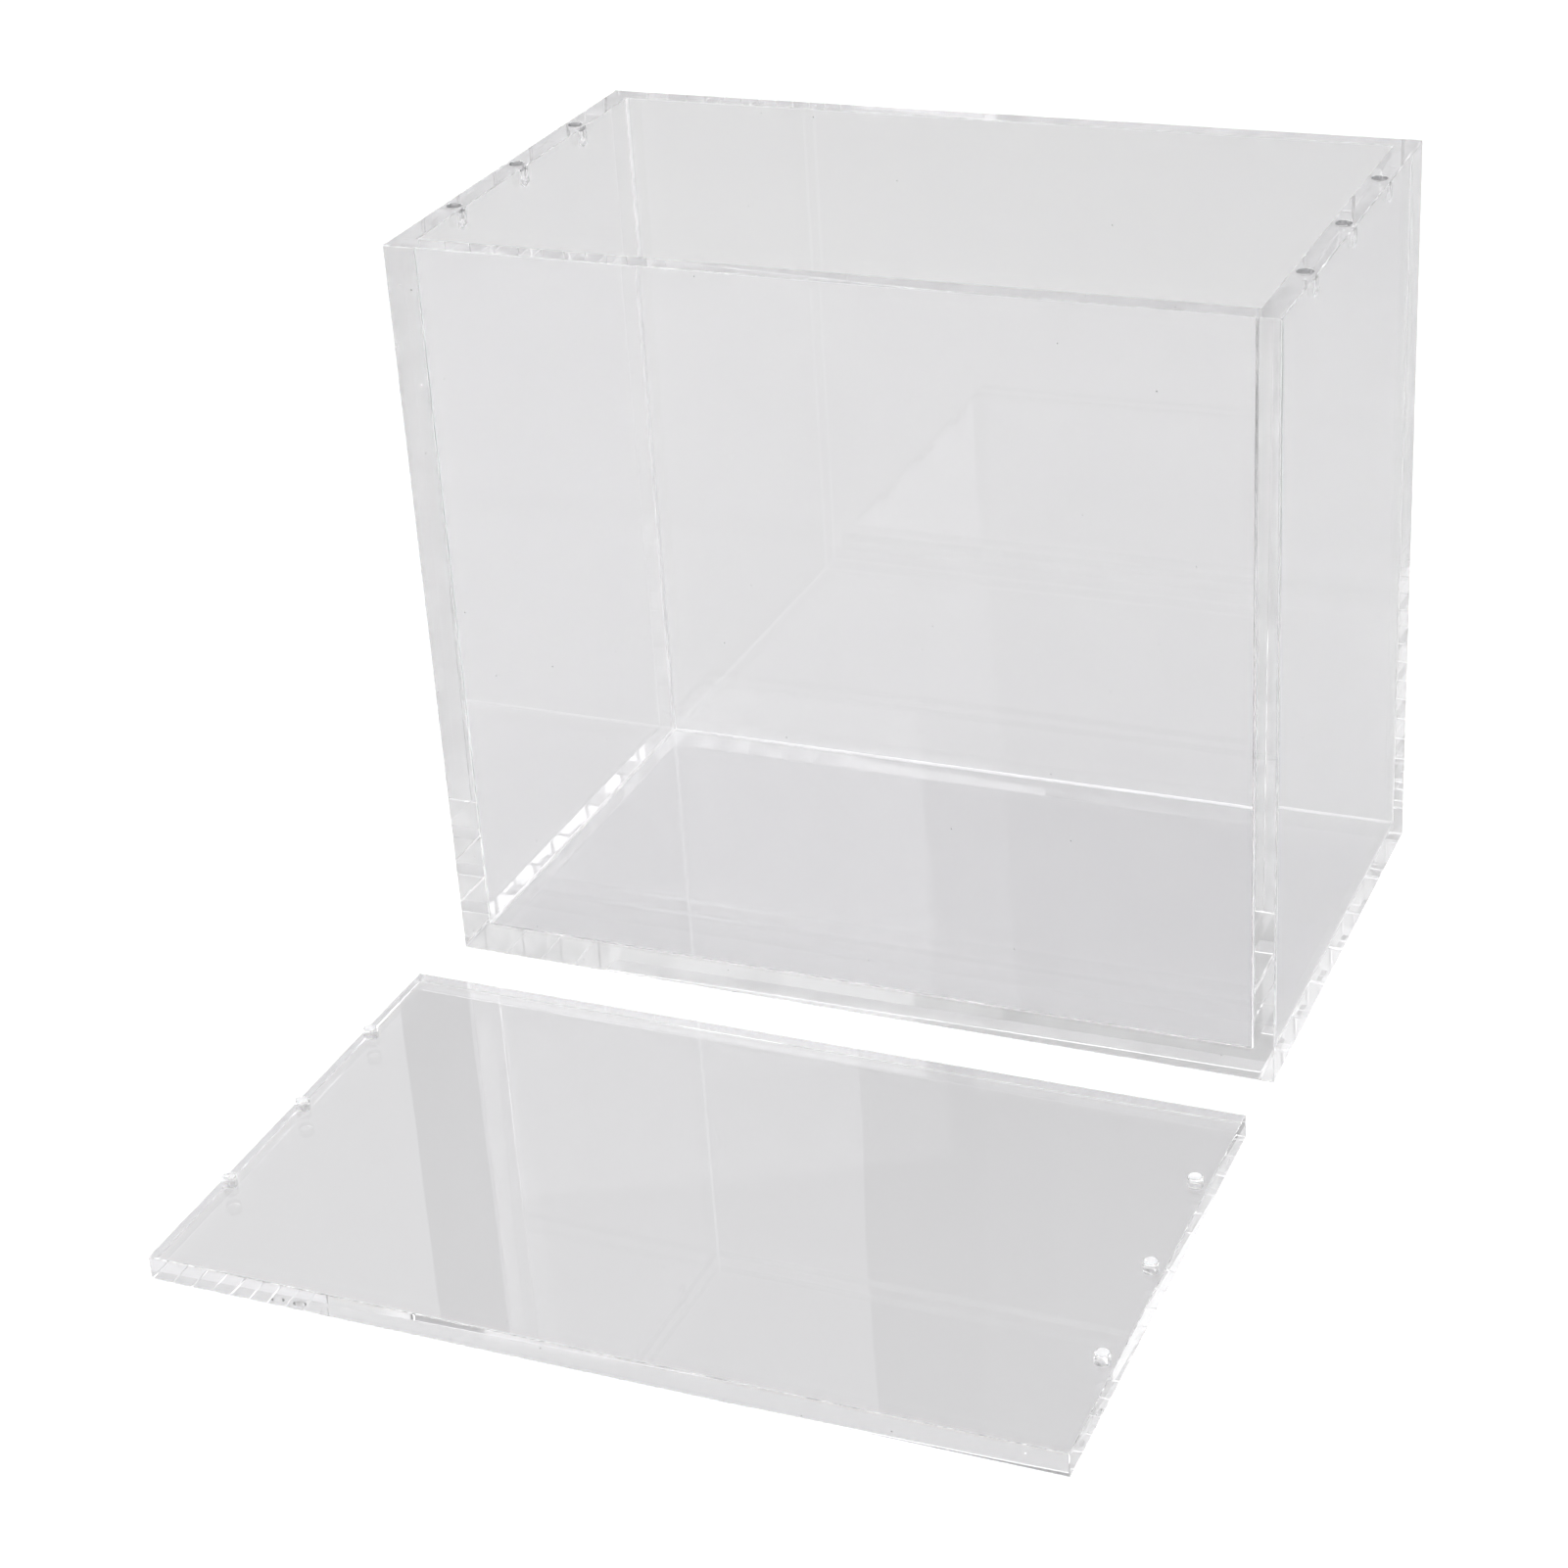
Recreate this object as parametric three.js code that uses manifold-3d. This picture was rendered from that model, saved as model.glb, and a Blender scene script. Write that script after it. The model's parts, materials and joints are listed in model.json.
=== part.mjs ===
// A clear display case: an open-topped box of five mitred, cemented acrylic panels, and a loose lid
// plate whose pegs drop into blind holes drilled in the rims of the two end walls.
//
// Millimetres, +Z up. The origin is the middle of the case's underside. Seen from the front, +X
// points right and +Y points to the back. The lid lies upside down on the table in front of the
// case, with its pegs pointing up.

import * as THREE from 'three';
import { ConvexGeometry } from 'three/addons/geometries/ConvexGeometry.js';
import { mergeVertices } from 'three/addons/utils/BufferGeometryUtils.js';
import Module from 'manifold-3d';

// Driving dimensions of the case, over the outside
const caseWidth = 180;
const caseDepth = 107;
const caseHeight = 159;
const wallThickness = 5;
const baseThickness = 5;

// Film of cement in every mitre, and the small chamfer that breaks each outer edge
const cementFilm = 0.1;
const edgeChamfer = 0.4;

// Lid plate, which covers the outside of the case, and the strip of table between it and the case
const lidThickness = 5;
const lidLaidGap = 20;

// Pegs: short rods cemented into the lid, in a row over each end wall
const pegDiameter = 3;
const pegStandout = 2;
const pegSeatDepth = 2.5;
const pegSeatFilm = 0.1;
const pegTipChamfer = 0.2;
const pegSpacing = 28;

// Holes drilled in the rims of the end walls, which the pegs drop into
const holeClearance = 0.15;
const holeDepth = 4;
const drillPointAngle = 118;

// How finely round surfaces are faceted, and how far a cutter runs out past the face that it opens
const roundSegments = 24;
const cutterOverrun = 1;

// Sizes worked out from those above
const outside = { x: caseWidth / 2, y: caseDepth / 2 };
const inside = { x: outside.x - wallThickness, y: outside.y - wallThickness };
const mitreSetback = cementFilm / Math.SQRT2;
const pegRowX = outside.x - wallThickness / 2;
const pegRadius = pegDiameter / 2;
const holeRadius = pegRadius + holeClearance;
const lidCentreY = -(caseDepth + lidLaidGap);

const ends = [
  { name: 'left', sign: -1 },
  { name: 'right', sign: 1 },
];
const rows = [
  { name: 'front', y: -pegSpacing },
  { name: 'middle', y: 0 },
  { name: 'back', y: pegSpacing },
];

const wasm = await Module();
wasm.setup();

// Boolean solids

function toSolid(geometry) {
  const bare = geometry.clone();
  bare.deleteAttribute('normal');
  bare.deleteAttribute('uv');
  const merged = mergeVertices(bare);
  const mesh = new wasm.Mesh({
    numProp: 3,
    vertProperties: new Float32Array(merged.attributes.position.array),
    triVerts: new Uint32Array(merged.index.array),
  });
  return new wasm.Manifold(mesh);
}

function toGeometry(solid) {
  const mesh = solid.getMesh();
  const geometry = new THREE.BufferGeometry();
  geometry.setAttribute('position', new THREE.BufferAttribute(mesh.vertProperties, mesh.numProp));
  geometry.setIndex(new THREE.BufferAttribute(mesh.triVerts, 1));
  geometry.computeVertexNormals();
  return geometry;
}

// Shapes

// A round body along Z, from half its outline: [radius, height] pairs from the bottom to the top.
function turned(outline) {
  const profile = outline.map(([radius, height]) => new THREE.Vector2(radius, height));
  return new THREE.LatheGeometry(profile, roundSegments).rotateX(Math.PI / 2);
}

// A block standing on z = 0 over the middle of the X Y plane, with every edge chamfered.
function chamferedBlock(width, depth, height) {
  const half = new THREE.Vector3(width, depth, height).divideScalar(2);
  const points = [];
  for (const sign of [-1, 1].flatMap((x) => [-1, 1].flatMap((y) => [-1, 1].map((z) => [x, y, z])))) {
    for (const proud of ['x', 'y', 'z']) {
      const point = half.clone().subScalar(edgeChamfer);
      point[proud] = half[proud];
      point.multiply(new THREE.Vector3(...sign));
      point.z += half.z;
      points.push(point);
    }
  }
  return new ConvexGeometry(points);
}

// The floor of the box: its underside is as large as the case and its top is as large as the inside.
function baseBlank() {
  const faces = [
    { half: outside, height: 0 },
    { half: inside, height: baseThickness },
  ];
  const points = [];
  for (const { half, height } of faces) {
    const x = half.x - mitreSetback;
    const y = half.y - mitreSetback;
    points.push(new THREE.Vector3(-x, -y, height), new THREE.Vector3(x, -y, height));
    points.push(new THREE.Vector3(-x, y, height), new THREE.Vector3(x, y, height));
  }
  return new ConvexGeometry(points);
}

// A wall that faces along one axis, 'x' or 'y', on the low (-1) or the high (1) side of the box.
// Its ends and its foot are mitred, and its rim is square.
function wallBlank(axis, side) {
  const along = axis === 'x' ? 'y' : 'x';
  const faces = [
    { half: outside, foot: 0 },
    { half: inside, foot: baseThickness },
  ];
  const points = [];
  for (const { half, foot } of faces) {
    for (const end of [-1, 1]) {
      for (const height of [foot + mitreSetback, caseHeight]) {
        const point = new THREE.Vector3(0, 0, height);
        point[axis] = side * half[axis];
        point[along] = end * (half[along] - mitreSetback);
        points.push(point);
      }
    }
  }
  return new ConvexGeometry(points);
}

// What the drill takes out of a rim, with its mouth at z = 0.
function pegHoleCutter() {
  const drillPoint = holeRadius / Math.tan(THREE.MathUtils.degToRad(drillPointAngle / 2));
  return turned([
    [0, -holeDepth - drillPoint],
    [holeRadius, -holeDepth],
    [holeRadius, cutterOverrun],
    [0, cutterOverrun],
  ]);
}

// What is milled out of the lid for one peg, with its mouth at z = 0.
function pegSeatCutter() {
  const radius = pegRadius + pegSeatFilm;
  return turned([
    [0, -pegSeatDepth],
    [radius, -pegSeatDepth],
    [radius, cutterOverrun],
    [0, cutterOverrun],
  ]);
}

// A peg, with z = 0 at the lid's face.
function pegShape() {
  const foot = pegSeatFilm - pegSeatDepth;
  return turned([
    [0, foot],
    [pegRadius, foot],
    [pegRadius, pegStandout - pegTipChamfer],
    [pegRadius - pegTipChamfer, pegStandout],
    [0, pegStandout],
  ]);
}

// Pieces

function clearAcrylic() {
  return new THREE.MeshStandardMaterial({
    color: 0xdfe2e3,
    roughness: 0.04,
    metalness: 0,
    transparent: true,
    opacity: 0.35,
  });
}

function piece(name, geometry) {
  const mesh = new THREE.Mesh(geometry, clearAcrylic());
  mesh.name = name;
  return mesh;
}

function buildCase() {
  const group = new THREE.Group();
  const envelope = toSolid(chamferedBlock(caseWidth, caseDepth, caseHeight));
  const trimmed = (blank) => toSolid(blank).intersect(envelope);

  group.add(piece('case_bottom_panel', toGeometry(trimmed(baseBlank()))));
  group.add(piece('case_front_panel', toGeometry(trimmed(wallBlank('y', -1)))));
  group.add(piece('case_back_panel', toGeometry(trimmed(wallBlank('y', 1)))));
  for (const end of ends) {
    let wall = trimmed(wallBlank('x', end.sign));
    for (const row of rows) {
      const cutter = pegHoleCutter().translate(end.sign * pegRowX, row.y, caseHeight);
      wall = wall.subtract(toSolid(cutter));
    }
    group.add(piece(`case_${end.name}_panel`, toGeometry(wall)));
  }
  return group;
}

function buildLid() {
  const group = new THREE.Group();
  let plate = toSolid(chamferedBlock(caseWidth, caseDepth, lidThickness));
  for (const end of ends) {
    for (const row of rows) {
      const cutter = pegSeatCutter().translate(end.sign * pegRowX, row.y, lidThickness);
      plate = plate.subtract(toSolid(cutter));
      const peg = piece(`lid_peg_${end.name}_${row.name}`, pegShape());
      peg.position.set(end.sign * pegRowX, row.y, lidThickness);
      group.add(peg);
    }
  }
  group.add(piece('lid_plate', toGeometry(plate)));
  group.position.y = lidCentreY;
  return group;
}

const displayCase = new THREE.Group();
displayCase.name = 'display_case';
displayCase.add(buildCase(), buildLid());

export default displayCase;
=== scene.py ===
"""Clear acrylic display case with its loose lid lying upside down in front of it.

Everything is in metres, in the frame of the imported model. Every sheet is a convex block cut by
planes, so its mitres meet its neighbours' exactly, and its cemented faces carry a material of
their own that lets light straight through, as clear cement does.
"""

import json
import math

import bmesh
import bpy
from mathutils import Matrix, Vector


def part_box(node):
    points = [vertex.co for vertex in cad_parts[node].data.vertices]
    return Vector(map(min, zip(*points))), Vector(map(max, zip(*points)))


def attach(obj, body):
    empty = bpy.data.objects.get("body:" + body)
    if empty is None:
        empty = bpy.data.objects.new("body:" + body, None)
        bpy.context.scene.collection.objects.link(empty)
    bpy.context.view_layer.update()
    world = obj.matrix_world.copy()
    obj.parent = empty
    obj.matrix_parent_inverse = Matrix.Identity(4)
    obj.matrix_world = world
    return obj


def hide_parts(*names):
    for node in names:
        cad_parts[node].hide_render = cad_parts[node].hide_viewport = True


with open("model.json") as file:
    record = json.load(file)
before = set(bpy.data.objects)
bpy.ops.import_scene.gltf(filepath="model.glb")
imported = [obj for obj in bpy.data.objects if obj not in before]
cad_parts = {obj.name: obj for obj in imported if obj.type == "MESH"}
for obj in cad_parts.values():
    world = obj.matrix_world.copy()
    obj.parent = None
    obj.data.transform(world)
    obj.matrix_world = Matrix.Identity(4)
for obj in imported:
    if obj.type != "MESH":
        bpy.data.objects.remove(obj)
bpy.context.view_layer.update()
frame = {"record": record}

MM = 0.001
AXES = "xyz"

# Camera, fitted to the photograph: the image is square, so the lens holds for both directions
CAMERA_PLACE = Vector((0.2378, -0.6027, 0.3670))
CAMERA_YAW = math.radians(24.43)
CAMERA_PITCH = math.radians(-27.60)
CAMERA_ROLL = math.radians(3.79)
CAMERA_LENS = 77.6
SENSOR_WIDTH = 36.0
CLIP_NEAR = 0.01
CLIP_FAR = 50.0

# How near counts as the same place: for a cut, for points to merge and for faces on a plane
CUT_TOLERANCE = 1e-8
MERGE_DISTANCE = 1e-7
PLANE_TOLERANCE = 1e-6

# Edges of the sheets
OUTER_ARRIS = 0.25 * MM
RIM_ARRIS = 0.2 * MM
ARRIS_STEPS = 3

# Peg holes in the rim, with a worked band from the broken edge of the mouth down to HOLE_SHADE_DEPTH,
# tinted dark grey as painted shade in the hole
HOLE_CLEARANCE = 0.15 * MM
HOLE_DEPTH = 4.0 * MM
HOLE_MOUTH = 0.08 * MM
HOLE_SHADE_DEPTH = 1.1 * MM
DRILL_POINT = math.radians(118)

# Pegs, whose end is rounded in two steps, and round bodies in general
PEG_ROUNDING = 0.3 * MM
PEG_SHOULDER = 0.3 * PEG_ROUNDING
ROUND_SEGMENTS = 64
CUTTER_OVERRUN = 1.0 * MM

# Fillets of cement: FILLET_HOLLOW is how far the middle of the face lies back along either leg, in legs
FILLET_LEG = 0.5 * MM
FILLET_STEPS = 4
FILLET_HOLLOW = 0.0776

# Which material a face takes, as a slot number
OPTICAL, CEMENTED, WORKED = 0, 1, 2

# The panels of the box, each by the axis that it faces along and the side
BOTTOM = ("z", -1)
RIM = ("z", 1)
WALLS = {"front": ("y", -1), "back": ("y", 1), "left": ("x", -1), "right": ("x", 1)}
ENDS = ("left", "right")
ROWS = ("front", "middle", "back")


# Sizes of the case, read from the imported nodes


def outer_box():
    """Lowest and highest corner of the box without its lid."""
    boxes = [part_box(node) for node in frame["record"]["behaviour"]["bodies"]["case"]]
    low = Vector([min(box[0][k] for box in boxes) for k in range(3)])
    high = Vector([max(box[1][k] for box in boxes) for k in range(3)])
    return low, high


OUT_LOW, OUT_HIGH = outer_box()
WALL = OUT_HIGH.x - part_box("case_right_panel")[0].x
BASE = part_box("case_bottom_panel")[1].z
IN_LOW = OUT_LOW + Vector((WALL, WALL, BASE))
IN_HIGH = OUT_HIGH - Vector((WALL, WALL, 0))
LID_LOW, LID_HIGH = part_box("lid_plate")


# Meshes


def unit(axis, sign=1.0):
    """The direction of an axis, or its opposite."""
    direction = Vector((0, 0, 0))
    direction[AXES.index(axis)] = sign
    return direction


def on_sides(low, high, *sides):
    """A point on the given sides of a box, each an axis and a sign, and at zero along the other axes."""
    point = Vector((0, 0, 0))
    for axis, sign in sides:
        k = AXES.index(axis)
        point[k] = high[k] if sign > 0 else low[k]
    return point


def cut_away(bm, point, normal, material):
    """Takes off what lies beyond a plane and closes the cut with one face."""
    everything = bm.verts[:] + bm.edges[:] + bm.faces[:]
    cut = bmesh.ops.bisect_plane(
        bm, geom=everything, plane_co=point, plane_no=normal, clear_outer=True, dist=CUT_TOLERANCE
    )
    edges = [e for e in cut["geom_cut"] if isinstance(e, bmesh.types.BMEdge)]
    if edges:
        bmesh.ops.edgeloop_fill(bm, edges=edges, mat_nr=material)


def block(low, high):
    """A box from its lowest and highest corner."""
    bm = bmesh.new()
    bmesh.ops.create_cube(bm, size=1.0)
    middle, size = (low + high) / 2, high - low
    for v in bm.verts:
        v.co = middle + Vector((v.co.x * size.x, v.co.y * size.y, v.co.z * size.z))
    return bm


def round_edge(bm, corner, first, second, radius):
    """Rounds the edge through corner where two faces meet, given the faces' outward normals."""
    centre = corner - radius * (first + second)
    for step in range(1, ARRIS_STEPS + 1):
        turn = step / (ARRIS_STEPS + 1) * math.pi / 2
        normal = first * math.cos(turn) + second * math.sin(turn)
        cut_away(bm, centre + radius * normal, normal, OPTICAL)


def finish_mesh(bm, name, merge=True):
    """The mesh of a shape, with its normals outwards and, if merge, its double points merged."""
    if merge:
        bmesh.ops.remove_doubles(bm, verts=bm.verts[:], dist=MERGE_DISTANCE)
    bmesh.ops.recalc_face_normals(bm, faces=bm.faces[:])
    mesh = bpy.data.meshes.new(name)
    bm.to_mesh(mesh)
    bm.free()
    return mesh


def panel_slab(panel):
    """The block that a panel is cut from, which reaches over the whole of its side of the case."""
    low, high = OUT_LOW.copy(), OUT_HIGH.copy()
    axis, side = panel
    k = AXES.index(axis)
    if side > 0:
        low[k] = IN_HIGH[k]
    else:
        high[k] = IN_LOW[k]
    return block(low, high)


def cut_mitre(bm, panel, neighbour):
    """Cuts a panel's mitre towards a neighbour and rounds the outer edge between them."""
    corner = on_sides(OUT_LOW, OUT_HIGH, panel, neighbour)
    slope = on_sides(IN_LOW, IN_HIGH, panel, neighbour) - corner
    along = unit(panel[0]).cross(unit(neighbour[0]))
    outward = unit(*neighbour)
    normal = slope.cross(along)
    if normal.dot(outward) < 0:
        normal.negate()
    cut_away(bm, corner, normal.normalized(), CEMENTED)
    round_edge(bm, corner, unit(*panel), outward, OUTER_ARRIS)


def round_rim(bm, wall):
    """Rounds the outer and the inner edge of a wall's rim."""
    face = unit(*wall)
    round_edge(bm, on_sides(OUT_LOW, OUT_HIGH, wall, RIM), face, unit(*RIM), OUTER_ARRIS)
    round_edge(bm, on_sides(IN_LOW, IN_HIGH, wall, RIM), -face, unit(*RIM), RIM_ARRIS)


def inner_faces(bm, panel):
    """The faces of a panel that look into the box."""
    k = AXES.index(panel[0])
    level = on_sides(IN_LOW, IN_HIGH, panel)[k]
    return [f for f in bm.faces if all(abs(v.co[k] - level) < PLANE_TOLERANCE for v in f.verts)]


def cement_strips(bm, panel, neighbours):
    """Gives the strips of a panel's inner face that the fillets cover to the cemented material."""
    strips = []
    for neighbour in neighbours:
        outward = unit(*neighbour)
        strips.append((on_sides(IN_LOW, IN_HIGH, neighbour) - FILLET_LEG * outward, outward))
    for line, outward in strips:
        faces = inner_faces(bm, panel)
        edges = dict.fromkeys(e for f in faces for e in f.edges)
        verts = dict.fromkeys(v for f in faces for v in f.verts)
        around = [*faces, *edges, *verts]
        bmesh.ops.bisect_plane(bm, geom=around, plane_co=line, plane_no=outward, dist=CUT_TOLERANCE)
    for face in inner_faces(bm, panel):
        middle = face.calc_center_median()
        if any((middle - line).dot(outward) > 0 for line, outward in strips):
            face.material_index = CEMENTED


def panel_block(panel, neighbours):
    """One panel of the box, mitred towards its neighbours."""
    bm = panel_slab(panel)
    for neighbour in neighbours:
        cut_mitre(bm, panel, neighbour)
    if panel != BOTTOM:
        round_rim(bm, panel)
    cement_strips(bm, panel, neighbours)
    return bm


def lid_block():
    """The plate of the lid, with its twelve edges rounded."""
    bm = block(LID_LOW, LID_HIGH)
    for first, second in (("x", "y"), ("x", "z"), ("y", "z")):
        for a in (-1, 1):
            for b in (-1, 1):
                corner = on_sides(LID_LOW, LID_HIGH, (first, a), (second, b))
                round_edge(bm, corner, unit(first, a), unit(second, b), OUTER_ARRIS)
    return bm


def ring(bm, place, radius, height):
    """The points around a round body at one height, or the one point where its radius is zero."""
    if radius == 0:
        return [bm.verts.new(place + Vector((0, 0, height)))]
    points = []
    for i in range(ROUND_SEGMENTS):
        turn = 2 * math.pi * i / ROUND_SEGMENTS
        across = Vector((radius * math.cos(turn), radius * math.sin(turn), height))
        points.append(bm.verts.new(place + across))
    return points


def turned(outline, place):
    """A round body along Z. outline holds (radius, height, material, smooth) from bottom to top; the
    last two belong to the band that ends there. The first and last radius are zero."""
    bm = bmesh.new()
    rings = [ring(bm, place, radius, height) for radius, height, _, _ in outline]
    for lower, upper, (_, _, material, smooth) in zip(rings, rings[1:], outline[1:]):
        for i in range(ROUND_SEGMENTS):
            around = ((lower, i), (lower, i + 1), (upper, i + 1), (upper, i))
            corners = [points[k % len(points)] for points, k in around]
            face = bm.faces.new(dict.fromkeys(corners))
            face.material_index = material
            face.smooth = smooth
    return bm


def with_cuts(mesh, cutters):
    """The mesh less every cutter, which are meshes in the same place."""
    body = bpy.data.objects.new("body_to_cut", mesh)
    bpy.context.collection.objects.link(body)
    tools = []
    for cutter in cutters:
        for material in mesh.materials:
            cutter.materials.append(material)
        tool = bpy.data.objects.new("cutter", cutter)
        bpy.context.collection.objects.link(tool)
        cut = body.modifiers.new("cut", "BOOLEAN")
        cut.operation = "DIFFERENCE"
        cut.solver = "EXACT"
        cut.object = tool
        tools.append(tool)
    bpy.context.view_layer.update()
    graph = bpy.context.evaluated_depsgraph_get()
    done = bpy.data.meshes.new_from_object(body.evaluated_get(graph))
    for used in (body, *tools):
        bpy.data.objects.remove(used)
    return done


def join(whole, part):
    """Adds a shape to another and frees it."""
    mesh = bpy.data.meshes.new("part")
    part.to_mesh(mesh)
    part.free()
    whole.from_mesh(mesh)
    bpy.data.meshes.remove(mesh)


# Materials


ACRYLIC_IOR = 1.49
ACRYLIC_TINT = (0.98, 0.978, 0.985)
ROD_TINT = (0.95, 0.95, 0.955)
# Dark grey of the worked band in a hole: painted shade inside the mouth of the hole
BORE_PAINTED_SHADE_TINT = (0.28, 0.28, 0.29)
BEAD_TINT = (0.97, 0.97, 0.975)
MILK_TINT = (0.9, 0.9, 0.9)
SHADOW_TINT = (0.96, 0.959, 0.963)
NO_TINT = (1.0, 1.0, 1.0)

# Scale of each pattern: the higher, the finer
SMUDGE_SCALE = 38.0
WAVE_SCALE = 14.0
DUST_SCALE = 95.0
DRILL_RING_SCALE = 900.0
TURNING_MARK_SCALE = 700.0
FILM_SCALE = 160.0
CRAZING_SCALE = 220.0
FLOOR_GRAIN_SCALE = 3.0

# Which part of a noise is spread over the range of what it drives
SMUDGE_NOISE = (0.5, 0.8)
TURNING_MARK_NOISE = (0.3, 0.8)
FILM_NOISE = (0.4, 0.75)
CRAZING_NOISE = (0.35, 0.7)

# Polished sheet: its waviness, its smudges, and the specks of dust, as a share of their spacing
WAVE_HEIGHT = 0.2 * MM
WAVE_STRENGTH = 0.2
SMUDGE_ROUGHNESS = 0.008
DUST_SIZE = (0.012, 0.02)
DUST_CLEARNESS = 0.35

# Worked band of a hole, whose dark grey tint is painted shade inside the mouth
DRILL_RING_HEIGHT = 0.02 * MM
DRILL_RING_STRENGTH = 0.15
BORE_CLEARNESS = 0.85
BORE_ROUGHNESS = 0.12

# Pegs: range of roughness and clearness of the rod's side and of its turned end
ROD_SIDE = ((0.03, 0.12), 0.88)
ROD_TURNED_END = ((0.25, 0.45), 0.9)

# Cement: the milky share of a joint, and the range of roughness of a bead
FILM_HAZE = 0.06
BEAD_FROST = (0.3, 0.6)

# Greys of the floor, darkest and lightest: seen directly, and through the acrylic
FLOOR_SEEN = (0.99, 1.0)
FLOOR_THROUGH = (0.62, 0.65)


def new_tree(name):
    """A new material and its empty node tree."""
    material = bpy.data.materials.new(name)
    material.use_nodes = True
    tree = material.node_tree
    tree.nodes.clear()
    return material, tree


def add(tree, kind, **values):
    """A new node. Each value is a link to a socket, a socket's own value or a setting of the node."""
    node = tree.nodes.new(kind)
    for name, value in values.items():
        socket = name.replace("_", " ")
        if isinstance(value, bpy.types.NodeSocket):
            tree.links.new(value, node.inputs[socket])
        elif socket in node.inputs:
            node.inputs[socket].default_value = value
        else:
            setattr(node, name, value)
    return node


def mixed(tree, share, first, second):
    """Two shaders mixed by the share of the second."""
    node = tree.nodes.new("ShaderNodeMixShader")
    for source, socket in zip((share, first, second), node.inputs):
        tree.links.new(source, socket)
    return node.outputs[0]


def own_place(tree):
    """Coordinates of a piece's own, which move with it."""
    return add(tree, "ShaderNodeTexCoord").outputs["Object"]


def noise(tree, place, **values):
    return add(tree, "ShaderNodeTexNoise", Vector=place, **values).outputs["Fac"]


def spread(tree, value, source, target):
    """A value taken from one range to another and kept within it."""
    node = add(
        tree, "ShaderNodeMapRange", Value=value,
        From_Min=source[0], From_Max=source[1], To_Min=target[0], To_Max=target[1],
    )
    return node.outputs["Result"]


def bumped(tree, height, strength, distance):
    node = add(tree, "ShaderNodeBump", Height=height, Strength=strength, Distance=distance)
    return node.outputs["Normal"]


def clear_shader(tree, tint, **values):
    node = add(tree, "ShaderNodeBsdfPrincipled", Base_Color=(*tint, 1.0), IOR=ACRYLIC_IOR, **values)
    return node.outputs[0]


def surfaced(tree, surface):
    out = add(tree, "ShaderNodeOutputMaterial")
    tree.links.new(surface, out.inputs["Surface"])


def shone_through(tree, surface, tint):
    """Lets lamps shine straight through a clear surface, with a loss at each face."""
    lamps = add(tree, "ShaderNodeBsdfTransparent", Color=(*tint, 1.0))
    ray = add(tree, "ShaderNodeLightPath")
    surfaced(tree, mixed(tree, ray.outputs["Is Shadow Ray"], surface, lamps.outputs[0]))


def clear_acrylic():
    """Polished cast acrylic, a little wavy, with faint smudges and a few specks of dust."""
    material, tree = new_tree("clear_acrylic")
    place = own_place(tree)
    smudges = noise(tree, place, Scale=SMUDGE_SCALE, Detail=4.0, Roughness=0.6)
    waves = noise(tree, place, Scale=WAVE_SCALE, Detail=1.0)
    specks = add(tree, "ShaderNodeTexVoronoi", Vector=place, Scale=DUST_SCALE).outputs["Distance"]
    glass = clear_shader(
        tree, ACRYLIC_TINT,
        Transmission_Weight=spread(tree, specks, DUST_SIZE, (DUST_CLEARNESS, 1.0)),
        Roughness=spread(tree, smudges, SMUDGE_NOISE, (0.0, SMUDGE_ROUGHNESS)),
        Normal=bumped(tree, waves, WAVE_STRENGTH, WAVE_HEIGHT),
    )
    shone_through(tree, glass, SHADOW_TINT)
    return material


def drilled_face_painted_shade():
    """The worked band of a hole: satin, with fine drill rings, and dark grey, which is painted shade
    inside the mouth of the hole.
    """
    material, tree = new_tree("drilled_face_painted_shade")
    rings = add(
        tree, "ShaderNodeTexWave", bands_direction="Z", Vector=own_place(tree),
        Scale=DRILL_RING_SCALE, Distortion=2.0,
    )
    glass = clear_shader(
        tree, BORE_PAINTED_SHADE_TINT, Transmission_Weight=BORE_CLEARNESS, Roughness=BORE_ROUGHNESS,
        Normal=bumped(tree, rings.outputs["Fac"], DRILL_RING_STRENGTH, DRILL_RING_HEIGHT),
    )
    shone_through(tree, glass, SHADOW_TINT)
    return material


def clear_rod(name, roughness, clearness):
    """Clear rod with faint turning marks, from its range of roughness and its clearness."""
    material, tree = new_tree(name)
    marks = noise(tree, own_place(tree), Scale=TURNING_MARK_SCALE, Detail=2.0)
    glass = clear_shader(
        tree, ROD_TINT, Transmission_Weight=clearness,
        Roughness=spread(tree, marks, TURNING_MARK_NOISE, roughness),
    )
    shone_through(tree, glass, ROD_TINT)
    return material


def cement_joint():
    """A cemented face: clear, with a faint milky film."""
    material, tree = new_tree("cement_joint")
    film = noise(tree, own_place(tree), Scale=FILM_SCALE, Detail=3.0)
    haze = spread(tree, film, FILM_NOISE, (0.0, FILM_HAZE))
    clear = add(tree, "ShaderNodeBsdfTransparent", Color=(*NO_TINT, 1.0))
    milk = add(tree, "ShaderNodeBsdfTranslucent", Color=(*MILK_TINT, 1.0))
    shone_through(tree, mixed(tree, haze, clear.outputs[0], milk.outputs[0]), NO_TINT)
    return material


def cement_bead():
    """The bead of cement squeezed out along an inside corner: clear, and frosted by fine crazing."""
    material, tree = new_tree("cement_bead")
    crazing = noise(tree, own_place(tree), Scale=CRAZING_SCALE, Detail=2.0)
    frost = spread(tree, crazing, CRAZING_NOISE, BEAD_FROST)
    bead = clear_shader(tree, BEAD_TINT, Transmission_Weight=1.0, Roughness=frost)
    shone_through(tree, bead, SHADOW_TINT)
    return material


def floor_paint(tree, grain, greys):
    """Matt paint with a soft grain between two greys."""
    tone = add(tree, "ShaderNodeValToRGB", Fac=grain)
    for element, grey in zip(tone.color_ramp.elements, greys):
        element.color = (grey, grey, grey, 1.0)
    return add(tree, "ShaderNodeBsdfDiffuse", Color=tone.outputs["Color"]).outputs[0]


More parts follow.
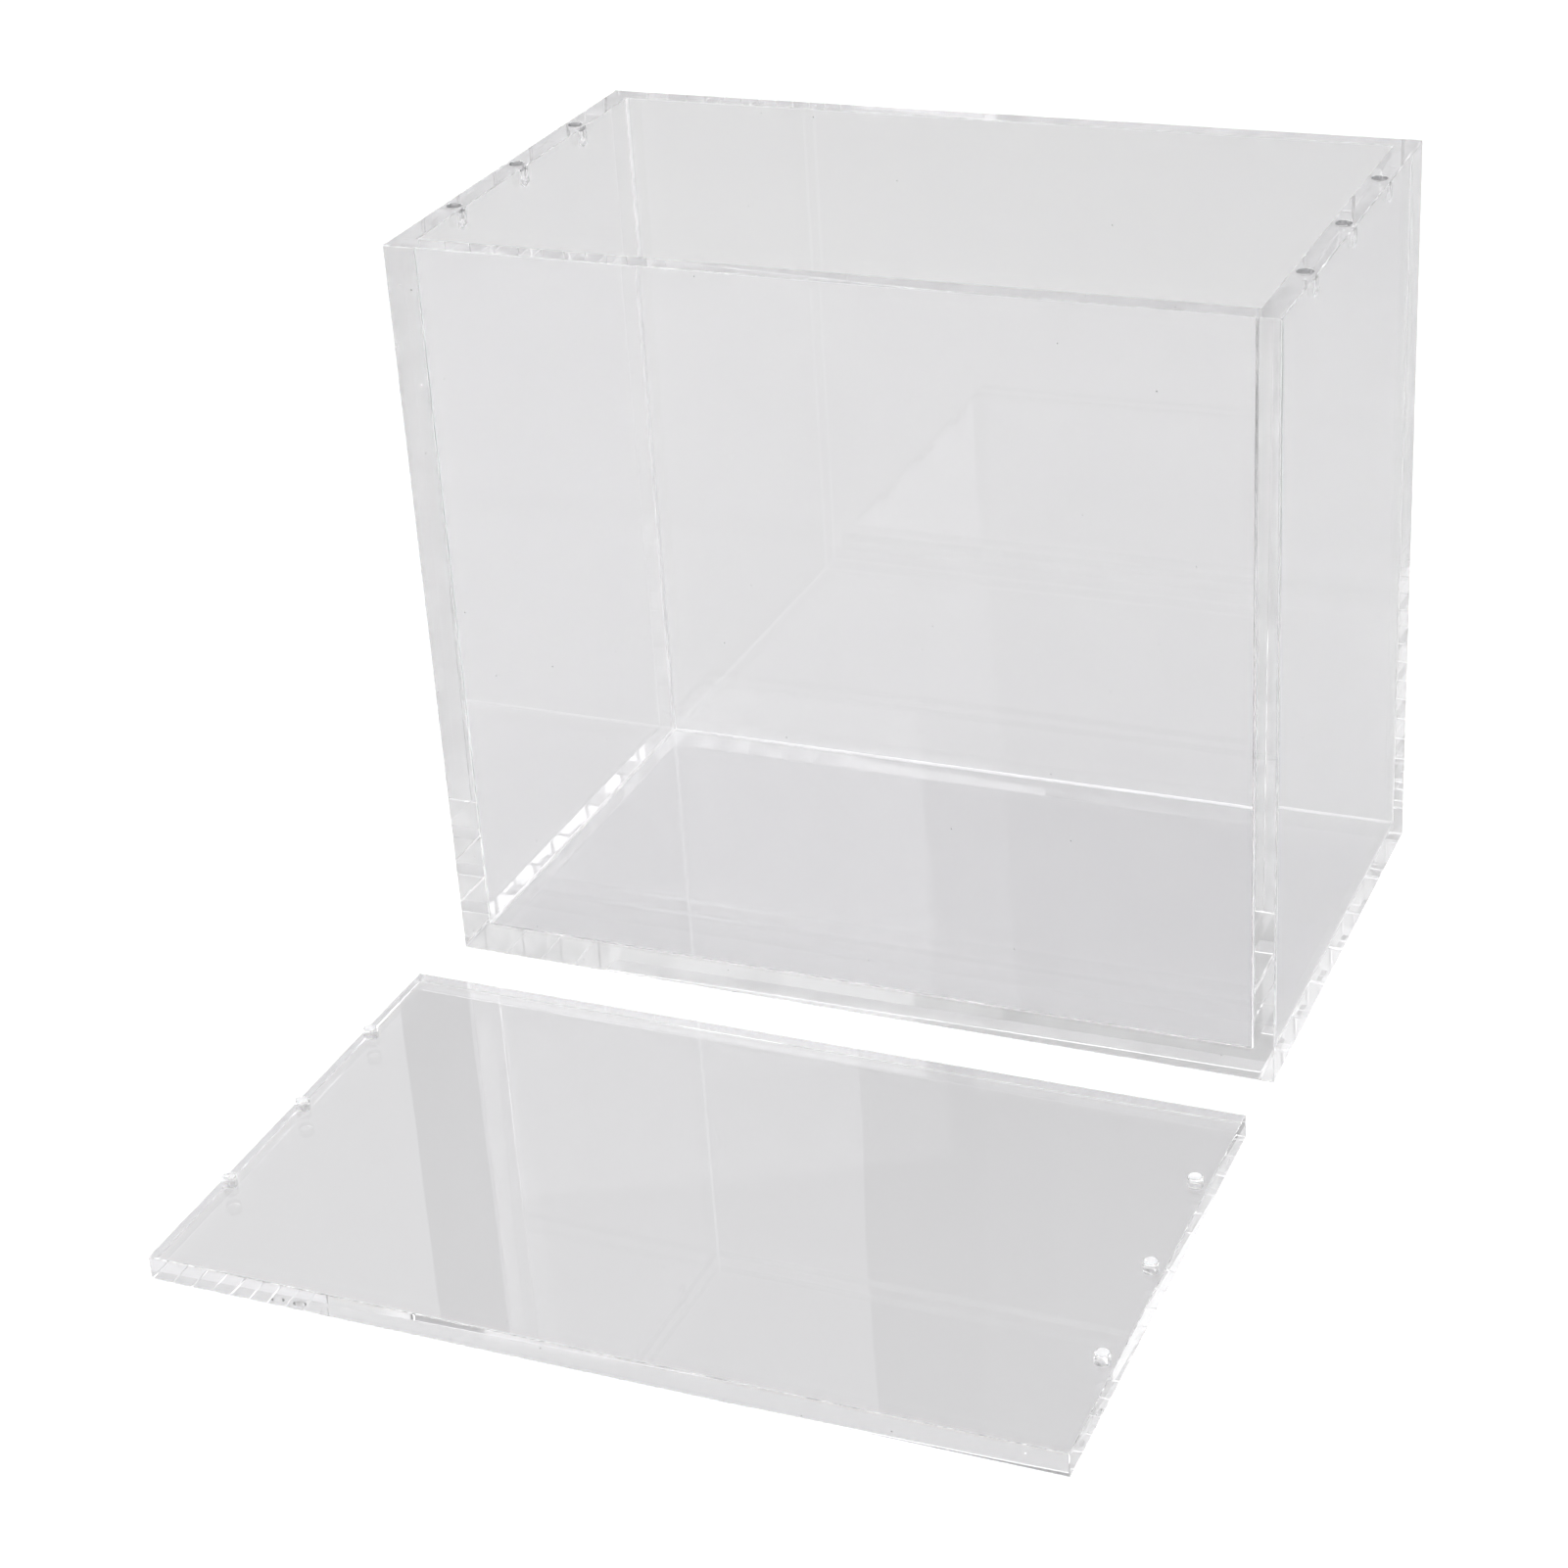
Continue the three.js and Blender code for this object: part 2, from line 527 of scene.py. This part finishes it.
def pale_floor():
    """A floor that is white in itself and pale grey through the acrylic, as in the photograph, whose
    background was cut out to white."""
    material, tree = new_tree("pale_floor")
    grain = noise(tree, own_place(tree), Scale=FLOOR_GRAIN_SCALE, Detail=2.0)
    seen = floor_paint(tree, grain, FLOOR_SEEN)
    through = floor_paint(tree, grain, FLOOR_THROUGH)
    ray = add(tree, "ShaderNodeLightPath")
    surfaced(tree, mixed(tree, ray.outputs["Is Camera Ray"], through, seen))
    return material


# Pieces


ACRYLIC = clear_acrylic()
CEMENT = cement_joint()
BORE = drilled_face_painted_shade()
BEAD = cement_bead()
ROD = clear_rod("clear_rod", *ROD_SIDE)
ROD_END = clear_rod("turned_rod_end", *ROD_TURNED_END)


def piece(name, mesh, body, node):
    """A piece that rides a body and stands for one of its nodes."""
    obj = bpy.data.objects.new(name, mesh)
    bpy.context.collection.objects.link(obj)
    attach(obj, body)
    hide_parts(node)


def dressed(bm, name, optical=ACRYLIC, worked=BORE, merge=True):
    """The finished mesh with its optical, cemented and worked materials."""
    mesh = finish_mesh(bm, name, merge)
    for material in (optical, CEMENT, worked):
        mesh.materials.append(material)
    return mesh


def peg_place(end, row):
    """A peg's middle, radius, foot and top, from its node."""
    low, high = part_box(f"lid_peg_{end}_{row}")
    return (low + high) / 2, (high.x - low.x) / 2, low.z, high.z


def drilled_hole(mouth, radius):
    """Cutter for a blind hole down from the middle of its mouth."""
    tip = radius / math.tan(DRILL_POINT / 2)
    outline = [
        (0, -HOLE_DEPTH - tip, OPTICAL, False),
        (radius, -HOLE_DEPTH, OPTICAL, False),
        (radius, -HOLE_SHADE_DEPTH, OPTICAL, True),
        # The band up to the mouth takes the worked material, whose dark grey is painted shade in the
        # hole
        (radius, -HOLE_MOUTH, WORKED, True),
        (radius + HOLE_MOUTH, 0, OPTICAL, True),
        (radius + HOLE_MOUTH, CUTTER_OVERRUN, OPTICAL, True),
        (0, CUTTER_OVERRUN, OPTICAL, False),
    ]
    return finish_mesh(turned(outline, mouth), "hole")


def rim_holes(end):
    """Cutters for the holes in one end wall, each where a peg comes when the lid is on."""
    lid_middle = (LID_LOW + LID_HIGH) / 2
    holes = []
    for row in ROWS:
        middle, radius, _, _ = peg_place(end, row)
        mouth = Vector((middle.x, middle.y - lid_middle.y, OUT_HIGH.z))
        holes.append(drilled_hole(mouth, radius + HOLE_CLEARANCE))
    return holes


def build_case():
    floor = panel_block(BOTTOM, list(WALLS.values()))
    piece("bottom_sheet", dressed(floor, "bottom_sheet"), "case", "case_bottom_panel")
    for side, wall in WALLS.items():
        neighbours = [other for other in WALLS.values() if other[0] != wall[0]] + [BOTTOM]
        mesh = dressed(panel_block(wall, neighbours), f"{side}_sheet")
        if side in ENDS:
            mesh = with_cuts(mesh, rim_holes(side))
        piece(f"{side}_sheet", mesh, "case", f"case_{side}_panel")


def fillet_outline():
    """Cross-section of a fillet in legs: its corner, its two legs and the hollow face between them."""
    points = [(0.0, 0.0), (1.0, 0.0)]
    for step in range(1, FILLET_STEPS):
        t = step / FILLET_STEPS
        hollow = FILLET_HOLLOW * (1 - (2 * t - 1) ** 2)
        points.append((1 - t - hollow, t - hollow))
    points.append((0.0, 1.0))
    return points


def fillet(start, end, first, second, mitred_end):
    """A cement fillet along an inside corner, its legs along two faces. It is mitred where it meets
    the other fillets: always at its start, and at its end if mitred_end."""
    bm = bmesh.new()
    outline = [FILLET_LEG * (first * x + second * y) for x, y in fillet_outline()]
    rings = [[bm.verts.new(place + offset) for offset in outline] for place in (start, end)]
    for points in rings:
        bm.faces.new(points).material_index = OPTICAL
    count = len(outline)
    for i in range(count):
        j = (i + 1) % count
        face = bm.faces.new((rings[0][i], rings[0][j], rings[1][j], rings[1][i]))
        on_leg = i in (0, count - 1)
        face.material_index = CEMENTED if on_leg else OPTICAL
        face.smooth = not on_leg
    along = (end - start).normalized()
    for leg in (first, second):
        cut_away(bm, start, (leg - along).normalized(), CEMENTED)
        if mitred_end:
            cut_away(bm, end, (leg + along).normalized(), CEMENTED)
    bmesh.ops.recalc_face_normals(bm, faces=bm.faces[:])
    return bm


def inside_corner(x_side, y_side):
    """One of the four corners of the floor inside the box."""
    return on_sides(IN_LOW, IN_HIGH, ("x", x_side), ("y", y_side), BOTTOM)


def build_fillets():
    whole = bmesh.new()
    up = unit("z")
    for x_side in (-1, 1):
        inward = unit("x", -x_side)
        for y_side in (-1, 1):
            foot = inside_corner(x_side, y_side)
            head = Vector((foot.x, foot.y, OUT_HIGH.z - RIM_ARRIS))
            join(whole, fillet(foot, head, inward, unit("y", -y_side), False))
        join(whole, fillet(inside_corner(x_side, -1), inside_corner(x_side, 1), inward, up, True))
    for y_side in (-1, 1):
        inward = unit("y", -y_side)
        join(whole, fillet(inside_corner(-1, y_side), inside_corner(1, y_side), inward, up, True))
    mesh = dressed(whole, "cement_fillets", BEAD, merge=False)
    obj = bpy.data.objects.new("cement_fillets", mesh)
    bpy.context.collection.objects.link(obj)
    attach(obj, "case")


def peg_seat(radius, foot):
    """Outline of the blind seat of a peg, run out past the face of the lid."""
    end = LID_HIGH.z + CUTTER_OVERRUN
    return [
        (0, foot, CEMENTED, False),
        (radius, foot, CEMENTED, False),
        (radius, end, CEMENTED, False),
        (0, end, CEMENTED, False),
    ]


def peg_outline(radius, foot, top):
    """Outline of a peg, cemented up to the face of the lid and rounded at its end."""
    return [
        (0, foot, CEMENTED, False),
        (radius, foot, CEMENTED, False),
        (radius, LID_HIGH.z, CEMENTED, False),
        (radius, top - PEG_ROUNDING, OPTICAL, True),
        (radius - PEG_SHOULDER, top - PEG_SHOULDER, OPTICAL, True),
        (radius - PEG_ROUNDING, top, OPTICAL, True),
        (0, top, WORKED, False),
    ]


def build_lid():
    plate = dressed(lid_block(), "lid_sheet")
    seats = []
    for end in ENDS:
        for row in ROWS:
            middle, radius, foot, top = peg_place(end, row)
            place = Vector((middle.x, middle.y, 0))
            seats.append(finish_mesh(turned(peg_seat(radius, foot), place), "seat"))
            shape = turned(peg_outline(radius, foot, top), place)
            peg = dressed(shape, f"peg_{end}_{row}", ROD, ROD_END)
            piece(f"peg_{end}_{row}", peg, "lid", f"lid_peg_{end}_{row}")
    piece("lid_sheet", with_cuts(plate, seats), "lid", "lid_plate")


# Stage


# The floor ends before the light on it falls off, and lies just under the case
FLOOR_RADIUS = 0.8
FLOOR_SEGMENTS = 96
FLOOR_DROP = 0.05 * MM

# What the lamps face and stand around
STUDIO_MIDDLE = Vector((0, -0.04, 0.05))
STUDIO_RADIUS = 2.4
BACK_PANEL_Y = 1.6

# Lamps for the floor: place, width and height in metres, and radiance
FLOOR_LAMPS = {
    "top_lamp": ((0.0, 0.0, 1.9), 1.8, 1.8, 2.0),
    "front_lamp": ((0.0, -1.5, 1.2), 1.5, 1.2, 3.4),
    "back_lamp": ((-0.5, 1.5, 1.2), 1.5, 1.2, 2.6),
    "left_lamp": ((-1.5, 0.0, 1.2), 1.5, 1.2, 2.5),
    "right_lamp": ((1.5, 0.0, 1.2), 1.5, 1.2, 1.25),
}

# Softboxes that show in the acrylic: spans of azimuth and elevation in degrees, and radiance
SOFTBOXES = {
    "front_softbox": ((172, 186), (12, 40), 0.6),
    "front_left_softbox": ((201.3, 212), (14, 34), 1.8),
    "front_left_inner_softbox": ((190, 201.3), (21, 31), 0.45),
    "front_left_high_softbox": ((190, 200), (31, 40), 0.6),
    "front_far_left_softbox": ((212, 222), (22, 40), 1.0),
    "front_right_softbox": ((140, 151), (20, 31), 1.0),
    "front_right_inner_softbox": ((151, 160), (22, 31), 0.7),
    "front_right_window": ((142, 149), (23, 30), 3.5),
    "front_right_inner_window": ((152, 159), (23, 30), 2.4),
    "front_right_low_softbox": ((150, 161), (11, 22), 0.6),
    "front_low_softbox": ((188, 201), (11, 21), 0.6),
    "back_right_softbox": ((8, 45), (22, 31), 0.5),
    "back_right_high_softbox": ((8, 45), (31, 41), 0.7),
    "left_high_softbox": ((235, 305), (42, 66), 2.4),
    "right_high_softbox": ((55, 125), (42, 66), 1.6),
}

# Upright panels behind the case that show in the acrylic: spans of X and Z in metres, and radiance
BACK_PANELS = {
    "back_left_panel": ((-2.4, -1.15), (1.14, 1.7), 0.5),
    "back_panel": ((-1.08, -0.71), (1.14, 1.7), 0.4),
    "low_left_panel": ((-2.4, -0.64), (0.8, 1.14), 0.5),
    "low_right_panel": ((-0.64, 0.3), (0.8, 1.14), 0.35),
}

# Brightness of the surroundings by height, as the sine of the elevation and the grey there: all
# around, and behind the case, where the lid and the inner floor mirror it. One gives way to the other
# over BACK_SPAN, the Y part of the direction. The camera itself sees WHITE.
SKY_STEPS = ((0.0, 0.72), (0.05, 1.0), (0.2, 0.85), (0.36, 0.6), (0.62, 0.6), (0.75, 1.6), (1.0, 1.4))
BACK_STEPS = (
    (0.0, 0.72), (0.05, 1.0), (0.2, 0.95), (0.23, 0.7), (0.38, 0.6),
    (0.42, 0.28), (0.66, 0.28), (0.7, 1.5), (1.0, 1.4),
)
BACK_SPAN = (0.45, 0.6)
WHITE = (1.05, 1.05, 1.05, 1.0)

# Bounces: many inside the clear sheets, few between the floor and what stands on it
CLEAR_BOUNCES = 300
DIFFUSE_BOUNCES = 3


def build_floor():
    bm = bmesh.new()
    bmesh.ops.create_circle(bm, cap_ends=True, segments=FLOOR_SEGMENTS, radius=FLOOR_RADIUS)
    mesh = bpy.data.meshes.new("floor")
    bm.to_mesh(mesh)
    bm.free()
    mesh.materials.append(pale_floor())
    floor = bpy.data.objects.new("floor", mesh)
    floor.location.z = -FLOOR_DROP
    bpy.context.collection.objects.link(floor)


def lamp(name, place, width, height, radiance, target=STUDIO_MIDDLE):
    """A rectangular lamp of a given radiance, facing a point."""
    data = bpy.data.lights.new(name, "AREA")
    data.shape = "RECTANGLE"
    data.size = width
    data.size_y = height
    data.energy = radiance * math.pi * width * height
    obj = bpy.data.objects.new(name, data)
    obj.location = place
    obj.rotation_euler = (target - Vector(place)).to_track_quat("-Z", "Y").to_euler()
    bpy.context.collection.objects.link(obj)
    return obj


def floor_lamp(name, place, width, height, radiance):
    """A lamp that lights the floor and doesn't show in the acrylic."""
    lamp(name, place, width, height, radiance).data.cycles.use_multiple_importance_sampling = False


def softbox(name, azimuths, elevations, radiance):
    """A lamp that shows in the acrylic and doesn't light the floor, from its spans in degrees as seen
    from the case: azimuth 0 is straight behind it and 90 to its right."""
    turn = math.radians(sum(azimuths) / 2)
    rise = math.radians(sum(elevations) / 2)
    away = Vector((math.sin(turn) * math.cos(rise), math.cos(turn) * math.cos(rise), math.sin(rise)))
    half_width = math.radians(azimuths[1] - azimuths[0]) / 2
    half_height = math.radians(elevations[1] - elevations[0]) / 2
    width = 2 * STUDIO_RADIUS * math.tan(half_width) * math.cos(rise)
    height = 2 * STUDIO_RADIUS * math.tan(half_height)
    place = STUDIO_MIDDLE + STUDIO_RADIUS * away
    lamp(name, place, width, height, radiance).visible_diffuse = False


def back_panel(name, across, heights, radiance):
    """An upright panel behind the case, square to it, that shows in the acrylic only."""
    (left, right), (low, high) = across, heights
    place = Vector(((left + right) / 2, BACK_PANEL_Y, (low + high) / 2))
    panel = lamp(name, place, right - left, high - low, radiance, place - unit("y"))
    panel.visible_diffuse = False


def build_lamps():
    for name, values in FLOOR_LAMPS.items():
        floor_lamp(name, *values)
    for name, values in SOFTBOXES.items():
        softbox(name, *values)
    for name, values in BACK_PANELS.items():
        back_panel(name, *values)


def grey_ramp(tree, height, steps):
    """A colour that changes with height, from pairs of height and grey."""
    ramp = add(tree, "ShaderNodeValToRGB", Fac=height)
    elements = ramp.color_ramp.elements
    for at, _ in steps[1:-1]:
        elements.new(at)
    for element, (at, grey) in zip(elements, steps):
        element.position = at
        element.color = (grey, grey, grey, 1.0)
    return ramp.outputs["Color"]


def background(tree, colour):
    return add(tree, "ShaderNodeBackground", Color=colour, Strength=1.0).outputs[0]


def build_surroundings():
    """A studio that only the acrylic mirrors, with plain white for the camera."""
    world = bpy.data.worlds.new("studio")
    bpy.context.scene.world = world
    world.cycles_visibility.diffuse = False
    world.use_nodes = True
    tree = world.node_tree
    tree.nodes.clear()
    direction = add(tree, "ShaderNodeTexCoord").outputs["Generated"]
    toward = add(tree, "ShaderNodeSeparateXYZ", Vector=direction)
    around = background(tree, grey_ramp(tree, toward.outputs["Z"], SKY_STEPS))
    behind = background(tree, grey_ramp(tree, toward.outputs["Z"], BACK_STEPS))
    studio = mixed(tree, spread(tree, toward.outputs["Y"], BACK_SPAN, (0.0, 1.0)), around, behind)
    ray = add(tree, "ShaderNodeLightPath")
    sky = mixed(tree, ray.outputs["Is Camera Ray"], studio, background(tree, WHITE))
    out = add(tree, "ShaderNodeOutputWorld")
    tree.links.new(sky, out.inputs["Surface"])


def build_camera():
    data = bpy.data.cameras.new("camera")
    data.sensor_width = SENSOR_WIDTH
    data.lens = CAMERA_LENS
    data.clip_start = CLIP_NEAR
    data.clip_end = CLIP_FAR
    camera = bpy.data.objects.new("camera", data)
    turn = (
        Matrix.Rotation(CAMERA_YAW, 4, "Z")
        @ Matrix.Rotation(CAMERA_PITCH, 4, "X")
        @ Matrix.Rotation(CAMERA_ROLL, 4, "Y")
        @ Matrix.Rotation(math.pi / 2, 4, "X")
    )
    camera.matrix_world = Matrix.Translation(CAMERA_PLACE) @ turn
    bpy.context.collection.objects.link(camera)
    bpy.context.scene.camera = camera


def set_light_paths():
    scene = bpy.context.scene
    scene.view_settings.view_transform = "Standard"
    paths = scene.cycles
    paths.max_bounces = CLEAR_BOUNCES
    paths.glossy_bounces = CLEAR_BOUNCES
    paths.transmission_bounces = CLEAR_BOUNCES
    paths.transparent_max_bounces = CLEAR_BOUNCES
    paths.diffuse_bounces = DIFFUSE_BOUNCES
    paths.caustics_reflective = False
    paths.caustics_refractive = False


build_case()
build_fillets()
build_lid()
build_floor()
build_surroundings()
build_lamps()
build_camera()
set_light_paths()
